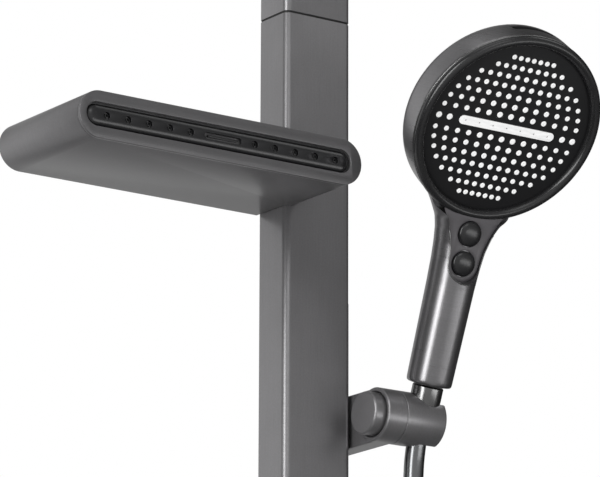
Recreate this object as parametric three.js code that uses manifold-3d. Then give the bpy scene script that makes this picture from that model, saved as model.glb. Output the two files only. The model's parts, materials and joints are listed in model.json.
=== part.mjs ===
// A wall-hung shower column: a square-section riser with a flat slab head that sprays from
// its front face, a hand shower on a sliding holder, and a bar mixer at the foot.
// Millimetres, +Z up. The wall is the plane Y = 0 and the bather stands at -Y. The origin is
// the centre of the upper wall bracket's back face.
//
// The pieces are drawn in the column's own frame, whose zero is the front left corner of the
// column at the level of the slab's underside, and one group moves them to the origin.
import * as THREE from "three";
import { mergeVertices } from "three/addons/utils/BufferGeometryUtils.js";
import Module from "manifold-3d";

const wasm = await Module();
wasm.setup();

// ---- Driving dimensions ----
const GAP = 0.3; // left between pieces that touch
const COLUMN = { width: 56, depth: 35, corner: 5, wall: 2, bottom: -950, seam: 141, top: 230 };
const WALL_Y = 60; // the wall, behind the column's front face
const BRACKET_Z = 185; // height of the upper wall bracket
const WALL_PLATE = { width: 50, height: 32, thickness: 5, screws: 32 };
const MID_X = COLUMN.width / 2;
const MID_Y = COLUMN.depth / 2;
const SLAB = { left: -211.5, right: 16.5, front: -67, thickness: 32.5, wall: 2.5 };
const SLAB_MID_X = (SLAB.left + SLAB.right) / 2;
const SLAB_MID_Z = SLAB.thickness / 2;
const SLAB_LENGTH = SLAB.right - SLAB.left;
const SLOT_X = SLAB_MID_X - 1.7;
const SLOT = { length: 213.6, height: 16.6 }; // opening in the slab's front rim
const NOZZLE = { pitch: 16.6, gap: 25.9, radius: 2.1, each: 5 }; // five on each side of the slit
const SLIT = { length: 30, height: 4.6 };
const RAIL = { bottom: -880, top: -60, neck: 9, head: 15, middle: 17.5, out: 5 };
const RAIL_SCREW_Z = [-100, -470, -840];
const BRACKET = { y: -25, z: -145.5, radius: 18.8, left: 56.8, seam: 73, right: 106.6, back: 30 };
const CRADLE = { bore: 9, slot: 8.6 }; // the hose's way through the holder, open to the right
const BUTTON = { radius: 15, out: 8.8, travel: 3 };
const AXLE = { radius: 3.7, head: 6, end: 83 };
const MIXER = { length: 240, size: 50, corner: 11, z: -978 };
const INLET_SPACING = 150;
const KNOB = { radius: 23, length: 44 };
const HOSE_DIAMETER = 14;
const HOSE_OUTLET_X = -32;

// The hand shower's frame: its zero is where its axis crosses the holder, +Z runs up the
// handle and -Y faces the bather.
const HAND = { x: 95, y: -28.2, z: BRACKET.z, tilt: 21.4, turn: -4.6 };
const CONE = { bottom: -2, shoulder: 16, top: 24.8, small: 10, large: 10.9 };
const HANDLE_BOTTOM = 25.4;
const PANEL_Y = -9.4; // flat on the neck that holds the control panel
const PANEL = { tip: 112, radius: 12.4, top: 142, half: 21, thickness: 1.2 };
const WATERWAY = 5.6; // radius of the bore up the handle
const SPRAY_BUTTON = { heights: [112.7, 133.6], radius: 8.8, travel: 2 };
const FACE = { y: -30.2, z: 210, lean: 19.05, radius: 69.7, depth: 26 };

// The hose's crimped end, inside the holder's socket.
const SLEEVE_ROUTE = [
  [95, -27.25, -147.92],
  [95, -26.1, -151.1],
  [95, -24.9, -154.8],
  [95, -23.95, -157.9],
];
// The hose's middle line in the column's frame, from the sleeve to the mixer's outlet.
const HOSE_ROUTE = [
  [95, -23.7, -158.8],
  [95, -22.2, -165],
  [95, -20.3, -176],
  [95.1, -19, -194],
  [95.5, -18.2, -222],
  [96.4, -18.8, -266],
  [98, -21, -340],
  [99.6, -23.5, -440],
  [100.6, -25.5, -560],
  [101, -26.7, -690],
  [101.5, -27.2, -820],
  [102.2, -27.4, -940],
  [102.6, -27.4, -1060],
  [102.6, -27, -1160],
  [101, -26, -1226],
  [92, -22.5, -1265],
  [68, -14, -1293],
  [34.5, -3, -1303],
  [1, 7, -1293],
  [-23, 14.5, -1265],
  [-31.5, 17.2, -1226],
  [-33, 17.6, -1160],
  [-32.4, 17.5, -1100],
  [-32, 17.5, -1062],
  [-32, 17.5, -1036.3],
];

// ---- Materials ----
const finish = (color, roughness, metalness) =>
  new THREE.MeshStandardMaterial({ color, roughness, metalness });
const GUNMETAL = finish(0x57585a, 0.38, 0.9);
const POLISHED = finish(0x8a8a8c, 0.18, 1);
const STEEL = finish(0xb9bbbd, 0.3, 1);
const BRASS = finish(0xb58b45, 0.35, 1);
const BLACK_GLOSS = finish(0x141416, 0.15, 0);
const BLACK_SATIN = finish(0x232326, 0.45, 0);
const RUBBER = finish(0x1b1b1d, 0.7, 0);
const WHITE_RUBBER = finish(0xe9e9e7, 0.55, 0);
const NYLON = finish(0xd8d5cc, 0.5, 0);
const HOSE_GREY = finish(0x8f9194, 0.25, 0.7);

// ---- Solid helpers ----
function solidOf(geometry) {
  const bare = geometry.clone();
  bare.deleteAttribute("normal");
  bare.deleteAttribute("uv");
  const merged = mergeVertices(bare, 1e-4);
  return new wasm.Manifold(
    new wasm.Mesh({
      numProp: 3,
      vertProperties: merged.attributes.position.array,
      triVerts: new Uint32Array(merged.index.array),
    }),
  );
}

function geometryOf(solid) {
  const mesh = solid.getMesh();
  const geometry = new THREE.BufferGeometry();
  geometry.setAttribute("position", new THREE.BufferAttribute(mesh.vertProperties, 3));
  geometry.setIndex(new THREE.BufferAttribute(mesh.triVerts, 1));
  return geometry;
}

const cut = (body, ...tools) =>
  geometryOf(tools.reduce((solid, tool) => solid.subtract(solidOf(tool)), solidOf(body)));

const join = (body, ...others) =>
  geometryOf(others.reduce((solid, other) => solid.add(solidOf(other)), solidOf(body)));

// A shape's outline pushed out along +Z, then laid along X or along -Y.
const upward = (shape, length, curveSegments = 8) =>
  new THREE.ExtrudeGeometry(shape, { depth: length, bevelEnabled: false, curveSegments });
const TO_X = new THREE.Matrix4().set(0, 0, 1, 0, 1, 0, 0, 0, 0, 1, 0, 0, 0, 0, 0, 1);
const alongX = (geometry) => geometry.applyMatrix4(TO_X);
const towardFront = (geometry) => geometry.rotateX(Math.PI / 2);

function roundedRect(width, height, radius, x = 0, y = 0) {
  const [w, h] = [width / 2, height / 2];
  const shape = new THREE.Shape();
  shape.moveTo(x - w + radius, y - h);
  shape.lineTo(x + w - radius, y - h);
  shape.absarc(x + w - radius, y - h + radius, radius, -Math.PI / 2, 0);
  shape.absarc(x + w - radius, y + h - radius, radius, 0, Math.PI / 2);
  shape.absarc(x - w + radius, y + h - radius, radius, Math.PI / 2, Math.PI);
  shape.absarc(x - w + radius, y - h + radius, radius, Math.PI, 1.5 * Math.PI);
  return shape;
}

function stadium(length, height, x = 0, y = 0) {
  const [half, radius] = [(length - height) / 2, height / 2];
  const shape = new THREE.Shape();
  shape.moveTo(x - half, y - radius);
  shape.absarc(x + half, y, radius, -Math.PI / 2, Math.PI / 2);
  shape.absarc(x - half, y, radius, Math.PI / 2, 1.5 * Math.PI);
  return shape;
}

function box(x0, x1, y0, y1, z0, z1) {
  const geometry = new THREE.BoxGeometry(x1 - x0, y1 - y0, z1 - z0);
  return geometry.translate((x0 + x1) / 2, (y0 + y1) / 2, (z0 + z1) / 2);
}

// A turned solid about +Z from [radius, height] pairs that go up the outside.
function turned(profile, segments = 20) {
  const points = profile.map(([radius, height]) => new THREE.Vector2(radius, height));
  return new THREE.LatheGeometry(points, segments).rotateX(Math.PI / 2);
}

const rod = (radius, from, to, segments = 20) =>
  turned([[0, from], [radius, from], [radius, to], [0, to]], segments);

const ring = (outer, inner, from, to, segments = 20) =>
  turned([[inner, from], [outer, from], [outer, to], [inner, to], [inner, from]], segments);

const rodX = (radius, from, to, y, z, segments = 20) =>
  alongX(rod(radius, from, to, segments)).translate(0, y, z);

const rodY = (radius, from, to, x, z, segments = 20) =>
  towardFront(rod(radius, -to, -from, segments)).translate(x, 0, z);

// ---- Scene graph ----
const shower = new THREE.Group();
const body = new THREE.Group();
body.position.set(-MID_X, -WALL_Y, -BRACKET_Z);
shower.add(body);
const hand = new THREE.Group();
hand.position.set(HAND.x, HAND.y, HAND.z);
hand.rotation.set(THREE.MathUtils.degToRad(HAND.tilt), 0, THREE.MathUtils.degToRad(HAND.turn));
body.add(hand);
const face = new THREE.Group(); // its -Y is the spray face's outward direction
face.position.set(0, FACE.y, FACE.z);
face.rotation.x = THREE.MathUtils.degToRad(FACE.lean);
hand.add(face);

function piece(name, geometry, material, parent = body) {
  const mesh = new THREE.Mesh(geometry, material);
  mesh.name = name;
  parent.add(mesh);
  return mesh;
}

// ---- Column ----
function columnTube(from, to) {
  const { width, depth, corner, wall } = COLUMN;
  const tube = roundedRect(width, depth, corner, MID_X, MID_Y);
  const inner = roundedRect(width - 2 * wall, depth - 2 * wall, corner - wall, MID_X, MID_Y);
  tube.holes.push(inner);
  return upward(tube, to - from, 3).translate(0, 0, from);
}

function makeColumn() {
  const { width, depth, corner, wall, bottom, seam, top } = COLUMN;
  const screwHoles = RAIL_SCREW_Z.map((z) => rodX(2.3, width - 4, width + 2, RAIL.middle, z, 8));
  const pipeHole = rodX(8.6, -3, 4, MID_Y, SLAB_MID_Z, 16);
  piece("column_lower", cut(columnTube(bottom, seam), pipeHole, ...screwHoles), GUNMETAL);
  const bracketHole = rodY(3, depth - 4, depth + 2, MID_X, BRACKET_Z, 8);
  const upper = columnTube(seam + 1.4, top);
  piece("column_upper", cut(upper, bracketHole), GUNMETAL);
  const gasket = roundedRect(width - 1.2, depth - 1.2, corner - 0.6, MID_X, MID_Y);
  gasket.holes.push(roundedRect(width - 4, depth - 4, corner - wall, MID_X, MID_Y));
  piece("seam_gasket", upward(gasket, 0.8, 2).translate(0, 0, seam + GAP), RUBBER);
  const lid = upward(roundedRect(width, depth, corner, MID_X, MID_Y), 3, 3);
  const plug = upward(roundedRect(width - 6, depth - 6, 2, MID_X, MID_Y), 8, 1);
  const cap = join(lid.translate(0, 0, top + GAP), plug.translate(0, 0, top - 7));
  piece("top_cap", cap, GUNMETAL);
}

// ---- Water path inside the column ----
function makeRiser() {
  const teeBottom = SLAB_MID_Z - 14;
  piece("riser_pipe", ring(7, 5.5, MIXER.z + 12, teeBottom - GAP).translate(MID_X, MID_Y, 0), BRASS);
  const tee = rod(10, teeBottom, SLAB_MID_Z + 14).translate(MID_X, MID_Y, 0);
  const port = rod(6, teeBottom - 1, SLAB_MID_Z + 4, 20).translate(MID_X, MID_Y, 0);
  const side = rodX(6, MID_X - 20, MID_X, MID_Y, SLAB_MID_Z, 20);
  piece("head_tee", cut(tee, port, side), BRASS);
  const inlet = cut(
    rodX(8, -18, MID_X - 11, MID_Y, SLAB_MID_Z),
    rodX(5.5, -19, MID_X - 10, MID_Y, SLAB_MID_Z, 20),
  );
  piece("head_inlet_pipe", inlet, BRASS);
  const nut = alongX(upward(hexagon(12), 7)).translate(-12, MID_Y, SLAB_MID_Z);
  piece("head_inlet_nut", cut(nut, rodX(8.3, -13, -4, MID_Y, SLAB_MID_Z)), BRASS);
}

function hexagon(radius) {
  const corners = Array.from({ length: 6 }, (_, i) => (i * Math.PI) / 3);
  return new THREE.Shape(
    corners.map((angle) => new THREE.Vector2(radius * Math.cos(angle), radius * Math.sin(angle))),
  );
}

// ---- Slab head ----
const slabPrism = (inset, front, back) =>
  towardFront(
    upward(
      stadium(SLAB_LENGTH - 2 * inset, SLAB.thickness - 2 * inset, SLAB_MID_X, SLAB_MID_Z),
      back - front,
      8,
    ),
  ).translate(0, back, 0);

function makeSlab() {
  const { front, wall, right } = SLAB;
  const back = COLUMN.depth;
  const rimBack = front + 2.6;
  const notch = box(-GAP, right + 5, -GAP, back + 5, -5, SLAB.thickness + 5);
  const outer = cut(slabPrism(0, rimBack + GAP, back), notch);
  const besideColumn = box(-wall - GAP, right + 5, -wall - GAP, back + 5, -5, SLAB.thickness + 5);
  const hollow = cut(slabPrism(wall, front, back - wall), besideColumn);
  const pipeHole = rodX(8.6, -6, 3, MID_Y, SLAB_MID_Z, 16);
  piece("head_shell", cut(outer, hollow, pipeHole), GUNMETAL);

  const opening = towardFront(
    upward(stadium(SLOT.length, SLOT.height, SLOT_X, SLAB_MID_Z), 10, 8),
  ).translate(0, rimBack + 2, 0);
  piece("head_front_rim", cut(slabPrism(0, front, rimBack), opening), GUNMETAL);

  const insertOutline = stadium(SLOT.length - 3.4, SLOT.height - 3.4, SLOT_X, SLAB_MID_Z);
  const insertBlank = new THREE.ExtrudeGeometry(insertOutline, {
    depth: 6,
    bevelThickness: 1.4,
    bevelSize: 1.4,
    bevelSegments: 1,
    curveSegments: 6,
  });
  const insert = towardFront(insertBlank).translate(0, front + 8.6, 0);
  const slit = towardFront(
    upward(stadium(SLIT.length, SLIT.height, SLAB_MID_X, SLAB_MID_Z), 40, 4),
  ).translate(0, front + 22, 0);
  const holes = nozzlePlaces().map((x) => rodY(NOZZLE.radius + GAP, -90, -40, x, SLAB_MID_Z, 8));
  piece("nozzle_insert", cut(insert, slit, ...holes), BLACK_GLOSS);

  const stripBack = front + 14;
  const stripFront = front + 10.4;
  const strip = towardFront(
    upward(stadium(SLOT.length - 4, SLOT.height - 3, SLOT_X, SLAB_MID_Z), 3.6, 5),
  ).translate(0, stripBack, 0);
  const nubs = nozzlePlaces().map((x) =>
    rodY(NOZZLE.radius, front + 2, stripFront + 0.5, x, SLAB_MID_Z, 6),
  );
  piece("nozzle_strip", cut(join(strip, ...nubs), slit), RUBBER);

  const jet = towardFront(
    upward(stadium(SLIT.length - 0.8, SLIT.height - 0.8, SLAB_MID_X, SLAB_MID_Z), 11, 4),
  ).translate(0, stripBack, 0);
  const lip = box(-11, 11, front, front + 6, -0.7, 0.7).translate(SLAB_MID_X, 0, SLAB_MID_Z);
  piece("slit_jet", cut(jet, lip), BLACK_GLOSS);

  const chamber = towardFront(
    upward(stadium(SLOT.length - 2, SLOT.height + 4, SLOT_X, SLAB_MID_Z), 14, 5),
  ).translate(0, stripBack + GAP + 14, 0);
  const feedPort = rodY(4.2, stripBack + 8, stripBack + 20, SLAB.right - 60, SLAB_MID_Z, 16);
  piece("head_water_chamber", cut(chamber, feedPort), NYLON);

  const feedPath = new THREE.CatmullRomCurve3([
    new THREE.Vector3(-18.5, MID_Y, SLAB_MID_Z),
    new THREE.Vector3(-28, MID_Y - 1, SLAB_MID_Z),
    new THREE.Vector3(-40, MID_Y - 10, SLAB_MID_Z),
    new THREE.Vector3(-43.5, MID_Y - 26, SLAB_MID_Z),
    new THREE.Vector3(-43.5, stripBack + 14 + 2 * GAP, SLAB_MID_Z),
  ]);
  piece("head_feed_tube", tubeAlong(feedPath, 5, 8, 8), NYLON);
}

function nozzlePlaces() {
  const places = [];
  for (const side of [-1, 1])
    for (let i = 0; i < NOZZLE.each; i++)
      places.push(SLAB_MID_X + side * (NOZZLE.gap + i * NOZZLE.pitch));
  return places;
}

function tubeAlong(path, radius, sides, steps) {
  const section = new THREE.Shape(
    Array.from({ length: sides }, (_, i) => {
      const angle = (2 * Math.PI * i) / sides;
      return new THREE.Vector2(radius * Math.cos(angle), radius * Math.sin(angle));
    }),
  );
  return new THREE.ExtrudeGeometry(section, { steps, extrudePath: path });
}

// ---- Slide rail on the column's right face ----
function makeRail() {
  const { bottom, top, neck, head, middle, out } = RAIL;
  const [x0, x1, x2] = [COLUMN.width + GAP, COLUMN.width + out / 2, COLUMN.width + out];
  const profile = new THREE.Shape();
  profile.moveTo(x0, middle - neck / 2);
  profile.lineTo(x1, middle - neck / 2);
  profile.lineTo(x1, middle - head / 2);
  profile.lineTo(x2, middle - head / 2);
  profile.lineTo(x2, middle + head / 2);
  profile.lineTo(x1, middle + head / 2);
  profile.lineTo(x1, middle + neck / 2);
  profile.lineTo(x0, middle + neck / 2);
  const rail = upward(profile, top - bottom).translate(0, 0, bottom);
  const shanks = RAIL_SCREW_Z.map((z) => rodX(2.3, x0 - 2, x2 + 2, middle, z, 8));
  const heads = RAIL_SCREW_Z.map((z) => rodX(4.3, x1, x2 + 2, middle, z, 12));
  piece("slide_rail", cut(rail, ...shanks, ...heads), GUNMETAL);
  RAIL_SCREW_Z.forEach((z, i) => {
    const shank = rodX(2, COLUMN.width - 6, x1 + 1, middle, z, 8);
    const screwHead = rodX(4, x1 + GAP, x2 - GAP, middle, z, 12);
    piece(`rail_screw_${i + 1}`, join(shank, screwHead), STEEL);
  });
}

// ---- Sliding holder ----
function makeSlider() {
  const { y, z, radius, left, seam, back } = BRACKET;
  const arm = box(left, seam, y, back, z - radius, z + radius);
  const blank = join(rodX(radius, left, seam, y, z, 36), arm);
  const slack = 0.4;
  const { neck, head, middle, out } = RAIL;
  const lipX = COLUMN.width + out / 2 - slack;
  const channelX = COLUMN.width + out + slack;
  const [low, high] = [z - radius - 2, z + radius + 2];
  const neckHalf = neck / 2 + slack;
  const headHalf = head / 2 + slack;
  const shoe = { x0: channelX, x1: channelX + 4, y: 5.5, z: 7 };
  const block = cut(
    blank,
    box(left - 2, lipX + 1, middle - neckHalf, middle + neckHalf, low, high),
    box(lipX, channelX, middle - headHalf, middle + headHalf, low, high),
    box(channelX - 1, shoe.x1, middle - shoe.y, middle + shoe.y, z - shoe.z, z + shoe.z),
    rodX(BUTTON.radius + 0.6, left - 2, left + 4.4, y, z, 28),
    rodX(10.4, left, left + 8.4, y, z, 24),
    rodX(AXLE.head + 0.4, left, seam - 2, y, z, 16),
    rodX(AXLE.radius + GAP, left, seam + 2, y, z, 16),
  );
  piece("slider_block", block, GUNMETAL);
  const pad = box(
    shoe.x0 - 0.1, shoe.x1 - GAP,
    middle - shoe.y + GAP, middle + shoe.y - GAP,
    z - shoe.z + GAP, z + shoe.z - GAP,
  );
  piece("brake_shoe", pad, NYLON);
  const bolt = join(
    rodX(AXLE.head, seam - 4.2, seam - 2.4, y, z, 16),
    rodX(AXLE.radius, seam - 3, AXLE.end, y, z, 16),
  );
  piece("tilt_axle", bolt, STEEL);

  const cap = turned([
    [0, 0], [BUTTON.radius - 1.2, 0], [BUTTON.radius, 1.2], [BUTTON.radius, BUTTON.out + 0.6],
    [AXLE.head, BUTTON.out + 0.6], [AXLE.head, BUTTON.out + 7.6], [0, BUTTON.out + 7.6],
  ], 28);
  piece("release_button", alongX(cap).translate(left - BUTTON.out, y, z), GUNMETAL);
  const spring = alongX(ring(9.6, 7.2, left + 0.9, left + 8.1, 16)).translate(0, y, z);
  piece("release_spring", spring, STEEL);
}

// The holder's socket: tapered like the cone nut, with a narrower bore for the hose below it.
function socketProfile(slack, reach) {
  const { bottom, shoulder, small, large } = CONE;
  const { bore } = CRADLE;
  const seat = bottom - slack;
  const mouth = small + slack + ((large - small) * (reach - bottom)) / (shoulder - bottom);
  return [[0, -reach], [bore, -reach], [bore, seat], [small + slack, seat], [mouth, reach], [0, reach]];
}

function makeHolder() {
  const { y, z, radius, seam, right } = BRACKET;
  const edge = 1.2;
  const barrel = turned([
    [0, seam + GAP], [radius, seam + GAP], [radius, right - edge], [radius - edge, right], [0, right],
  ], 36);
  const sideSlot = box(0, radius * 2, -CRADLE.slot, CRADLE.slot, -30, 30);
  const [socket, opening] = [turned(socketProfile(0.45, 30), 24), sideSlot].map((tool) =>
    tool.rotateX(THREE.MathUtils.degToRad(HAND.tilt)).translate(HAND.x, HAND.y, HAND.z),
  );
  const bored = cut(
    alongX(barrel).translate(0, y, z),
    socket,
    opening,
    rodX(AXLE.radius + GAP, seam - 2, AXLE.end + 0.4, y, z, 16),
    alongX(ring(13.3, 7.7, seam - 1, seam + 2.2, 20)).translate(0, y, z),
  );
  piece("holder_barrel", bored, GUNMETAL);
  const washer = alongX(ring(13, 8, seam + 0.35, seam + 1.9, 20)).translate(0, y, z);
  piece("friction_washer", washer, NYLON);
}

// ---- Hand shower ----
const onFace = (geometry) => geometry.rotateX(Math.PI / 2); // +Z of a turned part faces -Y

function placedFace(geometry) {
  const lean = THREE.MathUtils.degToRad(FACE.lean);
  return onFace(geometry).rotateX(lean).translate(0, FACE.y, FACE.z);
}

function makeHandShower() {
  const { bottom, shoulder, top, small, large } = CONE;
  const nut = turned([
    [0, bottom], [small, bottom], [large, shoulder], [large, top - 0.6], [large - 0.6, top], [0, top],
  ], 24);
  piece("cone_nut", cut(nut, rod(5, bottom - 1, bottom + 10, 16)), POLISHED, hand);

  const { radius, depth } = FACE;
  const handle = cut(
    turned([
      [0, HANDLE_BOTTOM], [15.2, HANDLE_BOTTOM], [16, HANDLE_BOTTOM + 0.8], [17, 96],
      [18, 115], [20.8, 130], [26, 143], [32.6, 152], [0, 166],
    ], 24),
    box(-60, 60, -60, PANEL_Y, PANEL.tip - PANEL.radius - 1, 200),
  );
  const head = placedFace(turned([
    [0, -34], [40, -33], [58, -30.8], [65.5, -27.5], [68.8, -22.5], [radius - 0.4, -14],
    [radius - 0.4, -3], [0, -3],
  ], 40));
  const hollow = placedFace(turned([[0, -depth], [60, -depth], [64.6, -21], [64.6, 2], [0, 2]], 32));
  const jetSlot = placedFace(box(-19, 17, 60, 72, -20.6, -15.6));
  const buttonWells = SPRAY_BUTTON.heights.map((height) =>
    rodY(SPRAY_BUTTON.radius - 0.9, PANEL_Y - 4, PANEL_Y + 3.8, 0, height, 16),
  );
  const waterway = rod(WATERWAY, HANDLE_BOTTOM - 1, 150, 16);
  const beforeFace = placedFace(rod(radius + 0.5, -3, 40, 40));
  const shell = cut(join(handle, head), beforeFace, hollow, jetSlot, waterway, ...buttonWells);
  piece("handset_shell", shell, GUNMETAL, hand);
  const tube = ring(WATERWAY - 0.4, WATERWAY - 1.8, HANDLE_BOTTOM + GAP, 142, 16);
  piece("waterway_tube", tube, NYLON, hand);

  const rim = turned([
    [62.4, -2.7], [radius - 0.6, -2.7], [radius, -1], [radius - 1.4, 2], [66, 3],
    [63.4, 1.6], [62.4, -0.4], [62.4, -2.7],
  ], 44);
  piece("handset_rim", onFace(rim), BLACK_GLOSS, face);
  const bar = stadium(83.5, 7.1);
  const plate = cut(rod(62, -4.6, -2, 40), upward(bar, 12, 4).translate(0, 0, -8));
  piece("face_plate", onFace(plate), BLACK_SATIN, face);
  const mat = cut(rod(61, -9, -4.9, 40), upward(bar, 12, 4).translate(0, 0, -12));
  piece("nozzle_mat", onFace(mat), WHITE_RUBBER, face);
  const jetBar = upward(stadium(82.8, 6.4), 7.4, 4).translate(0, 0, -8.9);
  piece("centre_jet_bar", onFace(jetBar), WHITE_RUBBER, face);
  const spreader = rod(60, -17, -9.4, 28);
  piece("water_spreader", onFace(spreader), NYLON, face);
  const insert = box(-18.4, 16.4, 62.4, 64.2, -20.2, -16);
  piece("top_jet_insert", onFace(insert), BLACK_SATIN, face);

  const shield = new THREE.Shape();
  shield.moveTo(-PANEL.radius, PANEL.tip);
  shield.absarc(0, PANEL.tip, PANEL.radius, Math.PI, 2 * Math.PI);
  shield.bezierCurveTo(PANEL.radius + 1, 122, PANEL.radius + 3, 132, PANEL.half, PANEL.top);
  shield.lineTo(-PANEL.half, PANEL.top);
  shield.bezierCurveTo(-PANEL.radius - 3, 132, -PANEL.radius - 1, 122, -PANEL.radius, PANEL.tip);
  const panelBlank = towardFront(upward(shield, PANEL.thickness, 6)).translate(0, PANEL_Y - GAP, 0);
  const panelHoles = SPRAY_BUTTON.heights.map((height) =>
    rodY(SPRAY_BUTTON.radius + GAP, PANEL_Y - 5, PANEL_Y + 5, 0, height, 16),
  );
  piece("control_panel", cut(panelBlank, ...panelHoles), BLACK_SATIN, hand);
  ["lower", "upper"].forEach((place, i) => {
    const { radius: size, heights, travel } = SPRAY_BUTTON;
    const dome = turned([
      [0, -1.4], [size - 1.4, -1.4], [size - 1.4, travel + 0.2], [size, travel + 0.2],
      [size, travel + 1.3], [size * 0.8, travel + 2.6], [size * 0.4, travel + 3.4], [0, travel + 3.6],
    ], 16);
    const button = towardFront(dome).translate(0, PANEL_Y, heights[i]);
    piece(`spray_button_${place}`, button, BLACK_GLOSS, hand);
  });
}

// ---- Hose ----
const pathThrough = (points) =>
  new THREE.CatmullRomCurve3(points.map((point) => new THREE.Vector3(...point)));

function makeHose() {
  piece("hose_sleeve", tubeAlong(pathThrough(SLEEVE_ROUTE), HOSE_DIAMETER / 2, 12, 6), HOSE_GREY);
  piece("shower_hose", tubeAlong(pathThrough(HOSE_ROUTE), HOSE_DIAMETER / 2, 8, 48), HOSE_GREY);
}

// ---- Mixer ----
function makeMixer() {
  const { length, size, corner, z } = MIXER;
  const [x0, x1] = [MID_X - length / 2, MID_X + length / 2];
  const bottom = z - size / 2;
  const blank = alongX(upward(roundedRect(size, size, corner, MID_Y, z), length, 4)).translate(x0, 0, 0);
  const sockets = [
    rodX(18, x0 - 2, x0 + 42, MID_Y, z, 24),
    rodX(18, x1 - 42, x1 + 2, MID_Y, z, 24),
  ];
  const riserPort = rod(7.4, z + 11, z + 40, 16).translate(MID_X, MID_Y, 0);
  const outletPort = rod(7, bottom - 5, bottom + 14, 16).translate(HOSE_OUTLET_X, MID_Y, 0);
  const inletPorts = inletPlaces().map((x) => rodY(9, MID_Y + 12, MID_Y + 40, x, z, 16));
  piece("mixer_body", cut(blank, ...sockets, riserPort, outletPort, ...inletPorts), GUNMETAL);

  const back = MID_Y + size / 2;
  inletPlaces().forEach((x, i) => {
    const side = ["left", "right"][i];
    const union = join(
      rodY(8.6, MID_Y + 18.6, WALL_Y, x, z, 16),
      towardFront(upward(hexagon(15), 5)).translate(x, back + 5.6, z),
    );
    piece(`inlet_union_${side}`, cut(union, rodY(6, MID_Y, WALL_Y + 5, x, z, 16)), BRASS);
    const cover = towardFront(turned([
      [9, 0], [32, 0], [32, 3], [28, 7], [9, 7], [9, 0],
    ], 28)).translate(x, WALL_Y, z);
    piece(`escutcheon_${side}`, cover, GUNMETAL);
  });

  const knobs = [
    ["temperature_knob", x0, Math.PI], ["flow_knob", x1, 0],
  ];
  knobs.forEach(([name, x, turn]) => {
    const grip = cut(
      turned([
        [0, 0.6], [KNOB.radius - 0.8, 0.6], [KNOB.radius, 1.4], [KNOB.radius, KNOB.length - 2],
        [KNOB.radius - 2, KNOB.length], [0, KNOB.length],
      ], 28),
      rod(6.3, -1, 22, 12),
    );
    const lever = box(-4, 4, KNOB.radius - 3, KNOB.radius + 9, 8, 26);
    const solid = alongX(join(grip, lever)).rotateZ(turn).translate(x, MID_Y, z);
    piece(name, solid, GUNMETAL);
    const cartridge = alongX(join(rod(17.6, -40, -1), rod(6, -2, 20, 12)));
    const core = name === "flow_knob" ? "flow_cartridge" : "thermostat_cartridge";
    piece(core, cartridge.rotateZ(turn).translate(x, MID_Y, z), BRASS);
  });

  const outlet = cut(
    join(
      rod(6.7, bottom - 12, bottom + 13, 16),
      rod(12, bottom - 4, bottom - GAP, 20),
    ),
    rod(4.6, bottom - 14, bottom + 14, 12),
  ).translate(HOSE_OUTLET_X, MID_Y, 0);
  piece("hose_outlet", outlet, POLISHED);
  const nut = cut(
    turned([
      [0, bottom - 33], [8.6, bottom - 33], [9.4, bottom - 24], [10.6, bottom - 20], [10.6, bottom - 5],
      [9.8, bottom - 4.3], [0, bottom - 4.3],
    ]),
    rod(7, bottom - 18, bottom, 16),
  ).translate(HOSE_OUTLET_X, MID_Y, 0);
  piece("hose_nut", nut, POLISHED);
}

const inletPlaces = () => [MID_X - INLET_SPACING / 2, MID_X + INLET_SPACING / 2];

// ---- Upper wall bracket ----
function makeWallBracket() {
  const { width, height, thickness, screws } = WALL_PLATE;
  const plate = box(
    MID_X - width / 2, MID_X + width / 2, WALL_Y - thickness, WALL_Y,
    BRACKET_Z - height / 2, BRACKET_Z + height / 2,
  );
  const boss = box(
    MID_X - 9, MID_X + 9, COLUMN.depth + GAP, WALL_Y - thickness + 1,
    BRACKET_Z - height / 2, BRACKET_Z + height / 2,
  );
  const screwXs = [MID_X - screws / 2, MID_X + screws / 2];
  const holes = screwXs.map((x) => rodY(2.9, WALL_Y - 8, WALL_Y + 2, x, BRACKET_Z, 8));
  const tapped = rodY(2.6, COLUMN.depth - 2, COLUMN.depth + 15, MID_X, BRACKET_Z, 8);
  piece("wall_bracket", cut(join(plate, boss), ...holes, tapped), STEEL);
  ["left", "right"].forEach((side, i) => {
    const x = screwXs[i];
    const screw = join(
      rodY(2.5, WALL_Y - 6, WALL_Y - 0.5, x, BRACKET_Z, 8),
      rodY(4.8, WALL_Y - 9, WALL_Y - 5.3, x, BRACKET_Z, 16),
    );
    piece(`wall_screw_${side}`, screw, STEEL);
  });
  const fixing = join(
    rodY(2.3, COLUMN.depth - 3, COLUMN.depth + 13, MID_X, BRACKET_Z, 8),
    rodY(5, COLUMN.depth - 5.6, COLUMN.depth - 2.3, MID_X, BRACKET_Z, 16),
  );
  piece("column_screw", fixing, STEEL);
}

makeColumn();
makeRiser();
makeSlab();
makeRail();
makeSlider();
makeHolder();
makeHandShower();
makeHose();
makeMixer();
makeWallBracket();

export default shower;
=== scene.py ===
import json
import math

import bmesh
import bpy
from mathutils import Matrix, Vector


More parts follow.
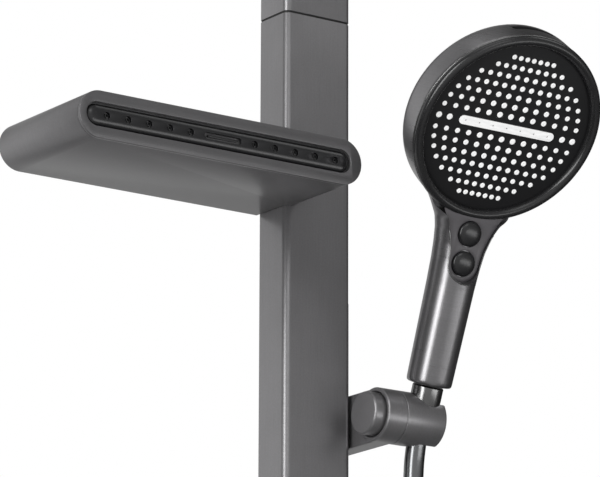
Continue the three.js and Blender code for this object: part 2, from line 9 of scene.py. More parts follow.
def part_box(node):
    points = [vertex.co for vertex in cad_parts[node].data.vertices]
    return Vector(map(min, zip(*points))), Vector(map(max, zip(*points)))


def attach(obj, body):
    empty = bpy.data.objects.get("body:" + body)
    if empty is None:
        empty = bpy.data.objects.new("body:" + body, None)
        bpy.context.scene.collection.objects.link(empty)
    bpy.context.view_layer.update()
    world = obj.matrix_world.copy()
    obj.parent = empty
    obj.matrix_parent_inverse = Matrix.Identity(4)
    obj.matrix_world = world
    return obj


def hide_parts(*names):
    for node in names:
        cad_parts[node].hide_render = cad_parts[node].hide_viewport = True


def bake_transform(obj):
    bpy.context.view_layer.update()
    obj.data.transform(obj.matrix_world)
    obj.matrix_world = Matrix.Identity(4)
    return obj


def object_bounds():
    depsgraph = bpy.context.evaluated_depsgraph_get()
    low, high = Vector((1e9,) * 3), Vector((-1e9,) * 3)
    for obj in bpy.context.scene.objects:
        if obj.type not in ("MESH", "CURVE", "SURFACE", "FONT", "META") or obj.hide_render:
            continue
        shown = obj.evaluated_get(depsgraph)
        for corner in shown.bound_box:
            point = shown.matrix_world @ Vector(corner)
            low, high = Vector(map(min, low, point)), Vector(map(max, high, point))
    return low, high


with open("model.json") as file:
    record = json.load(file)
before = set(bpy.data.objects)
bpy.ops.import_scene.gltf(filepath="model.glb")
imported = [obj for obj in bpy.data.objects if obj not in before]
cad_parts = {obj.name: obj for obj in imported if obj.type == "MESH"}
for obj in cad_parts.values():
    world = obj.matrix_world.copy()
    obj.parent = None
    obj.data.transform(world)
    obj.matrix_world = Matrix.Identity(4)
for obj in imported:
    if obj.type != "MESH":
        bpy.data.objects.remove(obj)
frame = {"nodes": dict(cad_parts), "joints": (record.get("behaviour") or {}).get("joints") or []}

CAD_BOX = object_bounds()
MM = 0.001
joints = {joint["name"]: joint for joint in frame["joints"]}

# ---- Camera: below the slab head and to the left, looking up and to the right ----
EYE = Vector((-1.68373, -2.43507, -0.97067))
YAW, PITCH, ROLL = math.radians(35.08), math.radians(14.74), math.radians(0.19)
LENS, SENSOR_WIDTH = 259.4, 36


def make_camera():
    ahead = Vector((
        math.sin(YAW) * math.cos(PITCH), math.cos(YAW) * math.cos(PITCH), math.sin(PITCH),
    ))
    level = Vector((math.cos(YAW), -math.sin(YAW), 0))
    upright = level.cross(ahead)
    right = level * math.cos(ROLL) + upright * math.sin(ROLL)
    up = upright * math.cos(ROLL) - level * math.sin(ROLL)
    camera = bpy.data.objects.new("camera", bpy.data.cameras.new("camera"))
    camera.data.sensor_width = SENSOR_WIDTH
    camera.data.lens = LENS
    aim = Matrix((right, up, -ahead)).transposed()
    camera.matrix_world = Matrix.Translation(EYE) @ aim.to_4x4()
    bpy.context.collection.objects.link(camera)
    bpy.context.scene.camera = camera


# ---- Shader helpers ----
class Number:
    """A number in a shader. Arithmetic on it adds the Math nodes."""

    def __init__(self, tree, socket):
        self.tree, self.socket = tree, socket

    def math(self, operation, *values):
        node = self.tree.nodes.new("ShaderNodeMath")
        node.operation = operation
        for slot, value in zip(node.inputs, values):
            if isinstance(value, Number):
                self.tree.links.new(value.socket, slot)
            else:
                slot.default_value = value
        return Number(self.tree, node.outputs[0])

    def __add__(self, other): return self.math("ADD", self, other)
    def __radd__(self, other): return self.math("ADD", other, self)
    def __sub__(self, other): return self.math("SUBTRACT", self, other)
    def __rsub__(self, other): return self.math("SUBTRACT", other, self)
    def __mul__(self, other): return self.math("MULTIPLY", self, other)
    def __rmul__(self, other): return self.math("MULTIPLY", other, self)
    def __truediv__(self, other): return self.math("DIVIDE", self, other)
    def __rtruediv__(self, other): return self.math("DIVIDE", other, self)


class Nodes:
    """The nodes of one material or of the world."""

    def __init__(self, tree):
        self.tree = tree

    def node(self, kind, settings=None, **inputs):
        node = self.tree.nodes.new("ShaderNode" + kind)
        for key, value in (settings or {}).items():
            setattr(node, key, value)
        for key, value in inputs.items():
            self.feed(node.inputs[key.replace("_", " ")], value)
        return node

    def feed(self, socket, value):
        if isinstance(value, Number):
            value = value.socket
        if isinstance(value, bpy.types.NodeSocket):
            self.tree.links.new(value, socket)
        else:
            socket.default_value = value

    def number(self, socket):
        return Number(self.tree, socket)

    def ramp(self, amount, stops):
        """A number that follows (place, level) stops, with eased steps between them."""
        node = self.node("ValToRGB")
        curve = node.color_ramp
        curve.interpolation = "EASE"
        while len(curve.elements) > 1:
            curve.elements.remove(curve.elements[-1])
        for i, (place, level) in enumerate(stops):
            stop = curve.elements.new(place) if i else curve.elements[0]
            stop.position = place
            stop.color = (level, level, level, 1)
        self.feed(node.inputs[0], amount)
        return self.number(node.outputs[0])


class Finish(Nodes):
    """A material with one Principled shader, whose uniform values are given by name."""

    def __init__(self, name, **uniform):
        self.material = bpy.data.materials.new(name)
        self.material.use_nodes = True
        super().__init__(self.material.node_tree)
        self.shader = self.tree.nodes["Principled BSDF"]
        for socket, value in uniform.items():
            self.shader.inputs[socket.replace("_", " ")].default_value = value

    def place(self, turn=(0, 0, 0), stretch=(1, 1, 1)):
        """Object coordinates, turned by degrees and then stretched."""
        here = self.node("TexCoord").outputs["Object"]
        angles = [math.radians(degrees) for degrees in turn]
        turned_here = self.node("Mapping", Vector=here, Rotation=angles)
        return self.node("Mapping", Vector=turned_here.outputs[0], Scale=stretch).outputs[0]

    def noise(self, where, scale, detail=3.0, roughness=0.5):
        noise = self.node("TexNoise", Vector=where, Scale=scale, Detail=detail, Roughness=roughness)
        return self.number(noise.outputs["Fac"])

    def mix(self, amount, first, second):
        """One colour that turns into another as the amount goes from 0 to 1."""
        blend = self.node("Mix", {"data_type": "RGBA"})
        for i, value in zip((0, 6, 7), (amount, first, second)):
            self.feed(blend.inputs[i], value)
        return blend.outputs[2]

    def surface(self, colour, roughness, bump, depth, strength):
        """Feeds what varies over the surface. The bump's depth is in metres."""
        relief = self.node("Bump", Height=bump, Distance=depth, Strength=strength)
        self.feed(self.shader.inputs["Base Color"], colour)
        self.feed(self.shader.inputs["Roughness"], roughness)
        self.feed(self.shader.inputs["Normal"], relief.outputs[0])
        return self.material


def grey(value, red=1.0, green=1.0, blue=1.0):
    return (value * red, value * green, value * blue, 1)


def brushed_gunmetal(name, across, turn=(0, 0, 0), tone=0.2, gloss=0.36, solid=0.72):
    """Dark satin coated metal, brushed so that the marks run square to the `across` axis."""
    finish = Finish(name, Metallic=solid)
    stretch = [1.0 if axis in across else 0.02 for axis in "xyz"]
    marks = finish.noise(finish.place(turn, stretch), 1300, 3.0, 0.65)
    clouds = finish.noise(finish.place(), 28, 3.0, 0.55)
    specks = finish.noise(finish.place(), 850, 2.0)
    darker, lighter = (grey(tone * part, 1.0, 0.985, 1.01) for part in (0.68, 1.34))
    shade = marks * 0.35 + clouds * 0.3 + specks * 0.35
    return finish.surface(
        finish.mix(shade, darker, lighter),
        gloss - 0.05 + marks * 0.06 + clouds * 0.05,
        marks * 0.6 + specks * 0.4, 0.000012, 0.35,
    )


def faded(colour, part):
    return tuple(channel * part for channel in colour[:3]) + (1,)


def plain_metal(name, colour, gloss):
    """Bare or plated metal with fine marks and faint smears."""
    finish = Finish(name, Metallic=1.0)
    marks = finish.noise(finish.place(), 900, 3.0)
    smears = finish.noise(finish.place(), 45, 3.0)
    shade = finish.mix(smears, faded(colour, 0.8), colour)
    return finish.surface(shade, gloss + smears * 0.06, marks, 0.000004, 0.3)


def moulded(name, colour, gloss, grain=700, depth=0.00001, **uniform):
    """Moulded plastic or rubber with a fine grain and slightly paler clouds."""
    finish = Finish(name, **uniform)
    grains = finish.noise(finish.place(), grain, 2.0)
    clouds = finish.noise(finish.place(), 40, 2.0)
    shade = finish.mix(clouds, colour, faded(colour, 1.25))
    return finish.surface(shade, gloss + grains * 0.08, grains, depth, 0.4)


HANDLE_TILT, HANDLE_TURN = 21.4, -4.6  # how the hand shower stands in its holder, in degrees
FACE_LEAN = 19.05  # how far the spray face leans further than the handle, in degrees
FACE_MIDDLE = (0, -0.0302, 0.210)  # the spray face's middle in the hand shower's frame

column_metal = brushed_gunmetal("brushed gunmetal, up and down", "xy")
slab_metal = brushed_gunmetal("satin gunmetal of the slab head", "y", tone=0.145, gloss=0.3)
rim_metal = brushed_gunmetal("brushed gunmetal of the front rim", "z", tone=0.125, gloss=0.34)
barrel_metal = brushed_gunmetal("gunmetal turned about the holder's axis", "x", tone=0.2, gloss=0.34)
handle_metal = brushed_gunmetal(
    "gunmetal turned about the handle", "z", turn=(-HANDLE_TILT, 0, 0), tone=0.21, gloss=0.28, solid=0.93,
)
mixer_metal = brushed_gunmetal("brushed gunmetal, side to side", "yz")
polished_metal = plain_metal("polished gunmetal", grey(0.19), 0.2)
hose_jacket = plain_metal("silver-grey hose jacket", grey(0.19, 0.98, 1.0, 1.02), 0.24)
steel = plain_metal("plain steel", grey(0.5), 0.32)
brass = plain_metal("plain brass", (0.6, 0.42, 0.18, 1), 0.3)
gloss_black = moulded("gloss black plastic", grey(0.008, 1.0, 1.0, 1.08), 0.2)
rim_black = moulded("black rolled rim", grey(0.009, 1.0, 1.0, 1.06), 0.22)
face_black = moulded(
    "finely textured black face", grey(0.007, 1.0, 1.0, 1.1), 0.5, grain=2400, depth=0.00008,
    Specular_IOR_Level=0.25,
)
black_rubber = moulded("black rubber", grey(0.01), 0.6)
shield_black = moulded(
    "satin shield, dark violet grey", grey(0.055, 1.02, 0.96, 1.04), 0.36, grain=1800, depth=0.00002,
)
nylon = moulded("natural nylon", (0.62, 0.6, 0.54, 1), 0.45)


def silicone(name):
    """White silicone, faintly specked."""
    finish = Finish(name, Subsurface_Weight=0.0)
    specks = finish.noise(finish.place(), 900, 2.0)
    shade = finish.mix(specks, grey(0.76), grey(0.85))
    return finish.surface(shade, 0.4 + specks * 0.1, specks, 0.00001, 0.3)


white_silicone = silicone("white silicone")


# ---- Modelling helpers ----
def clear_selection():
    if bpy.context.mode != "OBJECT":
        bpy.ops.object.mode_set(mode="OBJECT")
    bpy.ops.object.select_all(action="DESELECT")


def focus(piece):
    clear_selection()
    piece.select_set(True)
    bpy.context.view_layer.objects.active = piece


def edit(piece, kind="FACE"):
    focus(piece)
    bpy.ops.object.mode_set(mode="EDIT")
    bpy.ops.mesh.select_mode(type=kind)
    bpy.ops.mesh.select_all(action="DESELECT")


def named(name):
    piece = bpy.context.object
    piece.name = piece.data.name = name
    return piece


def pick(piece, test):
    """In edit mode, selects the faces whose middle and normal pass the test."""
    mesh = bmesh.from_edit_mesh(piece.data)
    for side in mesh.faces:
        side.select = bool(test(side.calc_center_median(), side.normal))
    mesh.select_flush_mode()
    bmesh.update_edit_mesh(piece.data)


def pick_edges(piece, test):
    """In edit mode, selects the edges whose middle and direction pass the test."""
    mesh = bmesh.from_edit_mesh(piece.data)
    for edge in mesh.edges:
        first, last = (vertex.co for vertex in edge.verts)
        edge.select = bool(test((first + last) / 2, (last - first).normalized()))
    bmesh.update_edit_mesh(piece.data)


def block(name, low, high):
    clear_selection()
    low, high = Vector(low), Vector(high)
    bpy.ops.mesh.primitive_cube_add(size=1, location=(low + high) / 2)
    piece = named(name)
    piece.scale = high - low
    bpy.ops.object.transform_apply(location=True, rotation=True, scale=True)
    return piece


def round_edges(piece, test, radius, segments=8):
    edit(piece, "EDGE")
    pick_edges(piece, test)
    bpy.ops.mesh.bevel(offset=radius, segments=segments, affect="EDGES")
    bpy.ops.mesh.select_all(action="SELECT")
    bpy.ops.mesh.remove_doubles(threshold=1e-6)
    bpy.ops.object.mode_set(mode="OBJECT")
    return piece


def along(axis, where=lambda middle: True):
    """A test for edges that run along one axis."""
    return lambda middle, direction: abs(direction[axis]) > 0.99 and where(middle)


def smooth_by_angle(piece, angle):
    """Smooth shading over every edge that turns by less than the angle, in degrees."""
    focus(piece)
    bpy.ops.object.shade_smooth_by_angle(angle=math.radians(angle))


def soften(piece, width, segments=3, angle=30):
    """Rounds every edge sharper than the angle, then smooths the shading."""
    focus(piece)
    bevel = piece.modifiers.new("softened edges", "BEVEL")
    bevel.width, bevel.segments, bevel.limit_method = width, segments, "ANGLE"
    bevel.angle_limit = math.radians(angle)
    bpy.ops.object.modifier_apply(modifier=bevel.name)
    smooth_by_angle(piece, angle)
    return piece


def turned(name, profile, steps=72, place=None, closed=False):
    """A solid of revolution about Z from (radius, height) corners in millimetres."""
    clear_selection()
    bpy.ops.mesh.primitive_plane_add(size=MM)
    piece = named(name)
    edit(piece, "VERT")
    mesh = bmesh.from_edit_mesh(piece.data)
    mesh.verts.ensure_lookup_table()
    for vertex in mesh.verts[1:]:
        vertex.select = True
    bmesh.update_edit_mesh(piece.data)
    bpy.ops.mesh.delete(type="VERT")
    mesh = bmesh.from_edit_mesh(piece.data)
    mesh.verts.ensure_lookup_table()
    radius, height = profile[0]
    mesh.verts[0].co = (radius * MM, 0, height * MM)
    mesh.verts[0].select = True
    bmesh.update_edit_mesh(piece.data)
    corners = profile + profile[:1] if closed else profile
    for (radius, height), (next_radius, next_height) in zip(corners, corners[1:]):
        step = ((next_radius - radius) * MM, 0, (next_height - height) * MM)
        bpy.ops.mesh.extrude_region_move(TRANSFORM_OT_translate={"value": step})
    bpy.ops.mesh.select_all(action="SELECT")
    bpy.ops.mesh.spin(steps=steps, angle=2 * math.pi, center=(0, 0, 0), axis=(0, 0, 1))
    bpy.ops.mesh.select_all(action="SELECT")
    bpy.ops.mesh.remove_doubles(threshold=1e-6)
    bpy.ops.mesh.normals_make_consistent(inside=False)
    bpy.ops.object.mode_set(mode="OBJECT")
    if place is not None:
        settle(piece, place)
    return piece


def settle(piece, place):
    """Puts a piece in its place, which goes into its mesh."""
    focus(piece)
    piece.matrix_world = place @ piece.matrix_world
    bpy.ops.object.transform_apply(location=True, rotation=True, scale=True)
    return piece


def combine(piece, others, operation="DIFFERENCE"):
    """Cuts the others out of a piece, or joins them to it."""
    for other in others:
        focus(piece)
        work = piece.modifiers.new("work", "BOOLEAN")
        work.operation, work.solver, work.object = operation, "EXACT", other
        bpy.ops.object.modifier_apply(modifier=work.name)
        bpy.data.objects.remove(other)
    return piece


def finish_piece(piece, body, material, slot, *replaced):
    """Gives a piece its finish and the body it rides on, and hides the CAD nodes it stands for."""
    piece.data.materials.clear()
    piece.data.materials.append(material)
    if body:
        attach(piece, body)
    if replaced:
        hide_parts(*replaced)
    return piece


def turn(x=0, y=0, z=0):
    """A turn by degrees about X, then Y, then Z."""
    return (
        Matrix.Rotation(math.radians(z), 4, "Z")
        @ Matrix.Rotation(math.radians(y), 4, "Y")
        @ Matrix.Rotation(math.radians(x), 4, "X")
    )


def at(x, y, z):
    return Matrix.Translation((x, y, z))


TO_RIGHT = turn(y=90)  # a turned piece's +Z laid along +X
TO_FRONT = turn(x=90)  # a turned piece's +Z laid along -Y
SOCKET = at(*joints["handset_turn"]["pos_m"]) @ turn(x=HANDLE_TILT)  # the holder's tapered seat
HAND = SOCKET @ turn(z=HANDLE_TURN)  # the hand shower, with its handle along +Z
FACE = HAND @ at(*FACE_MIDDLE) @ turn(x=FACE_LEAN) @ TO_FRONT  # the spray face, with +Z out of it
IN_FACE = at(*FACE_MIDDLE) @ turn(x=FACE_LEAN) @ TO_FRONT  # the spray face in the hand's frame


def dress(material, *nodes):
    """Gives CAD pieces whose shape is already right their finish."""
    for node in nodes:
        piece = frame["nodes"][node]
        piece.data.materials.clear()
        piece.data.materials.append(material)
        smooth_by_angle(piece, 30)


make_camera()

# ---- Hose ----
HOSE_DIAMETER = 0.014
ROUTE_STEPS, SLEEVE_STEPS = 12, 6  # points of the curve for each point of a route
SLEEVE_ROUTE = [(95, -27.25, -147.92), (95, -26.1, -151.1), (95, -24.9, -154.8), (95, -23.95, -157.9)]
HOSE_ROUTE = [
    (95, -23.7, -158.8), (95, -22.2, -165), (95, -20.3, -176), (95.1, -19, -194), (95.5, -18.2, -222),
    (96.4, -18.8, -266), (98, -21, -340), (99.6, -23.5, -440), (100.6, -25.5, -560),
    (101, -26.7, -690), (101.5, -27.2, -820), (102.2, -27.4, -940), (102.6, -27.4, -1060),
    (102.6, -27, -1160), (101, -26, -1226), (92, -22.5, -1265), (68, -14, -1293),
    (34.5, -3, -1303), (1, 7, -1293), (-23, 14.5, -1265), (-31.5, 17.2, -1226),
    (-33, 17.6, -1160), (-32.4, 17.5, -1100), (-32, 17.5, -1062), (-32, 17.5, -1036.3),
]
ROUTE_ZERO = Vector((-28, -60, -185))  # where both routes count from, in millimetres


def route_point(point):
    return (Vector(point) + ROUTE_ZERO) * MM


def smooth_route(points, steps):
    """A Catmull-Rom curve through the points, in metres."""
    knots = [route_point(point) for point in points]
    knots = [2 * knots[0] - knots[1]] + knots + [2 * knots[-1] - knots[-2]]
    path = []
    for a, b, c, d in zip(knots, knots[1:], knots[2:], knots[3:]):
        for step in range(steps):
            t = step / steps
            path.append(
                0.5 * (2 * b + (c - a) * t + (2 * a - 5 * b + 4 * c - d) * t * t
                       + (3 * b - a - 3 * c + d) * t ** 3)
            )
    path.append(knots[-2])
    return path


def tube(name, path, radius, sides=32):
    """A round tube swept along a path, with closed ends."""
    line = bpy.data.curves.new(name, "CURVE")
    line.dimensions = "3D"
    spline = line.splines.new("POLY")
    spline.points.add(len(path) - 1)
    for point, place in zip(spline.points, path):
        point.co = (*place, 1)
    line.bevel_depth = radius
    line.bevel_resolution = sides // 4 - 1
    line.use_fill_caps = True
    piece = bpy.data.objects.new(name, line)
    bpy.context.collection.objects.link(piece)
    focus(piece)
    bpy.ops.object.convert(target="MESH")
    piece = named(name)
    edit(piece, "VERT")
    bpy.ops.mesh.select_all(action="SELECT")
    bpy.ops.mesh.remove_doubles(threshold=1e-6)
    bpy.ops.mesh.normals_make_consistent(inside=False)
    bpy.ops.object.mode_set(mode="OBJECT")
    smooth_by_angle(piece, 40)
    return piece


def make_hose():
    path = smooth_route(HOSE_ROUTE, ROUTE_STEPS)
    hose = tube("shower_hose_jacket", path, HOSE_DIAMETER / 2)
    sleeve_path = smooth_route(SLEEVE_ROUTE, SLEEVE_STEPS)
    sleeve = tube("hose_sleeve_jacket", sleeve_path, HOSE_DIAMETER / 2)
    finish_piece(hose, None, hose_jacket, "hose", "shower_hose")
    finish_piece(sleeve, None, hose_jacket, "hose", "hose_sleeve")
    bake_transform(hose)
    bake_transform(sleeve)


make_hose()


# ---- Column ----
COLUMN_CORNER = 5 * MM
COLUMN_WALL = 2 * MM
COLUMN_DEPTH = 8 * MM  # how deep each open end is modelled


def make_column():
    for node in ("column_lower", "column_upper"):
        piece = block(node + "_tube", *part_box(node))
        round_edges(piece, along(2), COLUMN_CORNER, 10)
        for end in (-1, 1):
            edit(piece)
            pick(piece, lambda middle, normal: normal.z * end > 0.9)
            bpy.ops.mesh.inset(thickness=COLUMN_WALL)
            inwards = (0, 0, -end * COLUMN_DEPTH)
            bpy.ops.mesh.extrude_region_move(TRANSFORM_OT_translate={"value": inwards})
            bpy.ops.object.mode_set(mode="OBJECT")
        soften(piece, 0.25 * MM, 2, 50)
        finish_piece(piece, "column", column_metal, "gunmetal", node)
    low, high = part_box("top_cap")
    low.z = high.z - 3 * MM
    cap = block("top_cap_lid", low, high)
    round_edges(cap, along(2), COLUMN_CORNER, 10)
    soften(cap, 0.6 * MM, 3, 50)
    finish_piece(cap, "column", column_metal, "gunmetal", "top_cap")
    dress(black_rubber, "seam_gasket")
    dress(brass, "riser_pipe", "head_tee", "head_inlet_pipe", "head_inlet_nut")


make_column()


# ---- Slab head ----
def stadium_block(name, low, high, segments=64):
    """A bar along X whose ends are half round in front view: a cylinder pulled apart."""
    clear_selection()
    low, high = Vector(low), Vector(high)
    radius = (high.z - low.z) / 2
    start = Vector((low.x + radius, (low.y + high.y) / 2, (low.z + high.z) / 2))
    step = math.pi / segments
    reach = radius / math.cos(step)  # the corners stand out so that the flats touch the radius
    bpy.ops.mesh.primitive_cylinder_add(
        vertices=segments, radius=reach, depth=high.y - low.y, location=start,
        rotation=(math.pi / 2, 0, 0),
    )
    piece = named(name)
    bpy.ops.object.transform_apply(location=True, rotation=True, scale=True)
    edit(piece, "VERT")
    mesh = bmesh.from_edit_mesh(piece.data)
    for vertex in mesh.verts:
        angle = math.atan2(vertex.co.z - start.z, vertex.co.x - start.x) + step
        vertex.co.x = start.x + reach * math.cos(angle)
        vertex.co.z = start.z + reach * math.sin(angle)
        vertex.select = vertex.co.x > start.x
    mesh.select_flush_mode()
    bmesh.update_edit_mesh(piece.data)
    bpy.ops.transform.translate(value=(high.x - low.x - 2 * radius, 0, 0))
    bpy.ops.object.mode_set(mode="OBJECT")
    return piece


SLOT_LENGTH, SLOT_HEIGHT = 213.6 * MM, 16.6 * MM
SLOT_SHIFT = -1.7 * MM  # the opening sits a little nearer the slab's free end
INSERT_PLAY = 1.4 * MM
# The insert's crown: each step inwards and outwards, in millimetres.
CROWN = [(0.2, 0.7), (0.4, 0.65), (0.7, 0.65), (1.1, 0.6), (1.6, 0.45), (1.9, 0.25)]
NOZZLE_START, NOZZLE_PITCH = 25.9, 16.6  # from the middle of the slab, in millimetres
PAST = 0.01  # how far a cutter reaches past what it cuts


def slot_box(length, height, front, back):
    """The corners of a box in the slab's opening, of a length and a height."""
    low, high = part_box("head_front_rim")
    x, z = (low.x + high.x) / 2 + SLOT_SHIFT, (low.z + high.z) / 2
    return (
        Vector((x - length / 2, front, z - height / 2)),
        Vector((x + length / 2, back, z + height / 2)),
    )


def shifted(corners):
    """Moves a pair of corners from the opening's middle to the middle of the slab."""
    return [corner - Vector((SLOT_SHIFT, 0, 0)) for corner in corners]


def nozzle_places():
    """The X of each slab nozzle: five on each side of the slit."""
    low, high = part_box("head_front_rim")
    middle = (low.x + high.x) / 2
    return [
        middle + side * (NOZZLE_START + NOZZLE_PITCH * i) * MM for side in (-1, 1) for i in range(5)
    ]


def make_slab_shell():
    low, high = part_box("head_shell")
    column_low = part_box("column_lower")[0]
    shell = stadium_block("head_shell_body", low, high, 96)
    gap = 0.25 * MM
    notch_low = (column_low.x - gap, column_low.y - gap, low.z - PAST)
    combine(shell, [block("notch", notch_low, (0.1, 0.1, high.z + PAST))])
    soften(shell, 0.35 * MM, 2, 40)
    finish_piece(shell, "column", slab_metal, "gunmetal", "head_shell")


def make_slab_rim():
    low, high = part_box("head_front_rim")
    high.y += 0.15 * MM
    rim = stadium_block("head_front_rim_ring", low, high, 96)
    hole = slot_box(SLOT_LENGTH, SLOT_HEIGHT, low.y - PAST, high.y + PAST)
    combine(rim, [stadium_block("opening", *hole, 96)])
    soften(rim, 0.35 * MM, 2, 50)
    finish_piece(rim, "column", rim_metal, "gunmetal", "head_front_rim")


def make_nozzle_insert(front, z):
    insert_box = slot_box(
        SLOT_LENGTH - INSERT_PLAY, SLOT_HEIGHT - INSERT_PLAY, front + 3.6 * MM, front + 8.6 * MM,
    )
    insert = stadium_block("nozzle_insert_bar", *insert_box, 64)
    edit(insert)
    pick(insert, lambda middle, normal: normal.y < -0.9)
    for step_in, out in CROWN:
        bpy.ops.mesh.inset(thickness=step_in * MM)
        bpy.ops.transform.translate(value=(0, -out * MM, 0))
    bpy.ops.object.mode_set(mode="OBJECT")
    holes = [
        turned("hole", [(0, 0), (2.5, 0), (2.5, 8), (0, 8)], 24, at(x, front + 5.4 * MM, z) @ TO_FRONT)
        for x in nozzle_places()
    ]
    slit_box = shifted(slot_box(30 * MM, 4.6 * MM, front - 3 * MM, front + 4.6 * MM))
    combine(insert, holes + [stadium_block("slit", *slit_box, 32)])
    soften(insert, 0.2 * MM, 2, 60)
    finish_piece(insert, "column", gloss_black, "gloss_black", "nozzle_insert")


def make_slab_nozzles(front, z):
    for i, x in enumerate(nozzle_places()):
        nub = turned(
            f"slab_nozzle_{i + 1}",
            [(0, -1.5), (1.7, -1.5), (1.5, 2.4), (0.9, 2.6), (0.75, 0.8), (0, 0.8)],
            24, at(x, front + 3.6 * MM, z) @ TO_FRONT,
        )
        soften(nub, 0.12 * MM, 2, 40)
        stands_for = ["nozzle_strip"] if i == 0 else []
        finish_piece(nub, "column", gloss_black, "gloss_black", *stands_for)
    tongue_box = shifted(slot_box(24 * MM, 1.7 * MM, front + 0.9 * MM, front + 5 * MM))
    tongue = stadium_block("slit_jet_tongue", *tongue_box, 24)
    soften(tongue, 0.3 * MM, 2, 40)
    finish_piece(tongue, "column", gloss_black, "gloss_black", "slit_jet")


def make_slab():
    make_slab_shell()
    make_slab_rim()
    low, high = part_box("head_front_rim")
    z = (low.z + high.z) / 2
    make_nozzle_insert(low.y, z)
    make_slab_nozzles(low.y, z)
    dress(nylon, "head_water_chamber", "head_feed_tube")


make_slab()


# ---- Slide rail and holder ----
BARREL_RADIUS = 18.8  # in millimetres


def tilt_axis(x):
    """The frame of a piece turned about the tilt axis, from an X towards the right."""
    return at(x, *joints["holder_tilt"]["pos_m"][1:]) @ TO_RIGHT


def make_slider():
    dress(column_metal, "slide_rail")
    dress(steel, "rail_screw_1", "rail_screw_2", "rail_screw_3", "tilt_axle", "release_spring")
    dress(nylon, "brake_shoe", "friction_washer")
    low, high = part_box("slider_block")
    length = (high.x - low.x) / MM
    slider = turned(
        "slider_block_body",
        [(0, 0), (BARREL_RADIUS - 0.8, 0), (BARREL_RADIUS, 0.8), (BARREL_RADIUS, length - 0.3),
         (BARREL_RADIUS - 0.3, length), (0, length)],
        96, tilt_axis(low.x),
    )
    inset = 0.01 * MM
    arm = block(
        "arm", (low.x + 1.6 * MM, joints["holder_tilt"]["pos_m"][1], low.z + inset),
        (high.x - inset, high.y, high.z - inset),
    )
    round_edges(arm, along(1), 1.2 * MM, 4)
    rail_low, rail_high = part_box("slide_rail")
    slack = 0.4 * MM
    middle_y = (rail_low.y + rail_high.y) / 2
    half_neck = 4.9 * MM
    neck = block(
        "neck", (low.x - PAST, middle_y - half_neck, low.z - PAST),
        (rail_low.x + 3 * MM, middle_y + half_neck, high.z + PAST),
    )
    channel = block(
        "channel", (rail_low.x + 1.8 * MM, rail_low.y - slack, low.z - PAST),
        (rail_high.x + slack, rail_high.y + slack, high.z + PAST),
    )
    well = turned(
        "well", [(0, -1), (16.4, -1), (16.4, 0), (15.7, 0.7), (15.7, 4.4), (0, 4.4)],
        72, tilt_axis(low.x),
    )
    combine(slider, [arm], "UNION")
    combine(slider, [neck, channel, well])
    smooth_by_angle(slider, 28)
    finish_piece(slider, "slider", barrel_metal, "gunmetal", "slider_block")


def make_release_button():
    button = turned(
        "release_button_cap",
        [(0, 0), (13.9, 0), (15, 1.1), (15, 10), (6, 10), (6, 16), (0, 16)],
        72, tilt_axis(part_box("release_button")[0].x),
    )
    soften(button, 0.3 * MM, 3, 30)
    finish_piece(button, "release_button", barrel_metal, "gunmetal", "release_button")


def make_barrel():
    low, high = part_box("holder_barrel")
    length = (high.x - low.x) / MM
    barrel = turned(
        "holder_barrel_body",
        [(0, 0), (BARREL_RADIUS - 0.3, 0), (BARREL_RADIUS, 0.3), (BARREL_RADIUS, length - 1.4),
         (BARREL_RADIUS - 0.4, length - 0.4), (BARREL_RADIUS - 1.4, length), (0, length)],
        96, tilt_axis(low.x),
    )
    seat = turned("seat", [(0, -40), (9, -40), (9, -2.4), (10.5, -2.4), (11.9, 34), (0, 34)], 64, HAND)
    half_way = 8.6 * MM  # half the width of the hose's way in from the right
    opening = block("opening", (0, -half_way, -30 * MM), (40 * MM, half_way, 30 * MM))
    settle(opening, SOCKET)
    combine(barrel, [seat, opening])
    smooth_by_angle(barrel, 28)
    finish_piece(barrel, "holder", barrel_metal, "gunmetal", "holder_barrel")


make_slider()
make_release_button()
make_barrel()


# ---- Hand shower ----
def make_cone_nut():
    nut = turned(
        "cone_nut_body",
        [(0, -2), (10, -2), (10.9, 16), (10.9, 23.9), (10.1, 24.7), (0, 24.7)], 72, HAND,
    )
    soften(nut, 0.4 * MM, 3, 40)
    finish_piece(nut, "cone", polished_metal, "polished", "cone_nut")


PANEL_Y = -9.4  # the flat on the neck that the control panel lies on, in millimetres
# The neck's height, half width, half depth and how far forward of the handle's axis, in millimetres.
NECK = [
    (25.4, 15.0, 15.0, 0), (26.0, 15.8, 15.8, 0), (27.4, 16.05, 16.05, 0), (60, 16.5, 16.5, 0),
    (96, 17.0, 17.0, 0), (113, 17.7, 17.3, 0.2), (124, 19.0, 17.4, 0.7), (134, 21.2, 17.6, 1.8),
    (142, 24.6, 17.9, 3.3), (150, 31.2, 18.4, 5.6), (158, 38.8, 19, 8.6), (168, 44, 19.5, 13),
    (182, 44, 18, 19),
]


def make_neck():
    clear_selection()
    height, width = NECK[0][:2]
    bpy.ops.mesh.primitive_circle_add(
        vertices=64, radius=width * MM, fill_type="NGON", location=(0, 0, height * MM),
    )
    neck = named("handset_shell_body")
    bpy.ops.object.transform_apply(location=True, rotation=True, scale=True)
    edit(neck)
    bpy.ops.mesh.select_all(action="SELECT")
    for last, here in zip(NECK, NECK[1:]):
        rise = (0, -(here[3] - last[3]) * MM, (here[0] - last[0]) * MM)
        bpy.ops.mesh.extrude_region_move(TRANSFORM_OT_translate={"value": rise})
        bpy.ops.transform.resize(
            value=(here[1] / last[1], here[2] / last[2], 1),
            center_override=(0, -here[3] * MM, here[0] * MM),
        )
    bpy.ops.mesh.select_all(action="SELECT")
    bpy.ops.mesh.normals_make_consistent(inside=False)
    bpy.ops.object.mode_set(mode="OBJECT")
    return neck


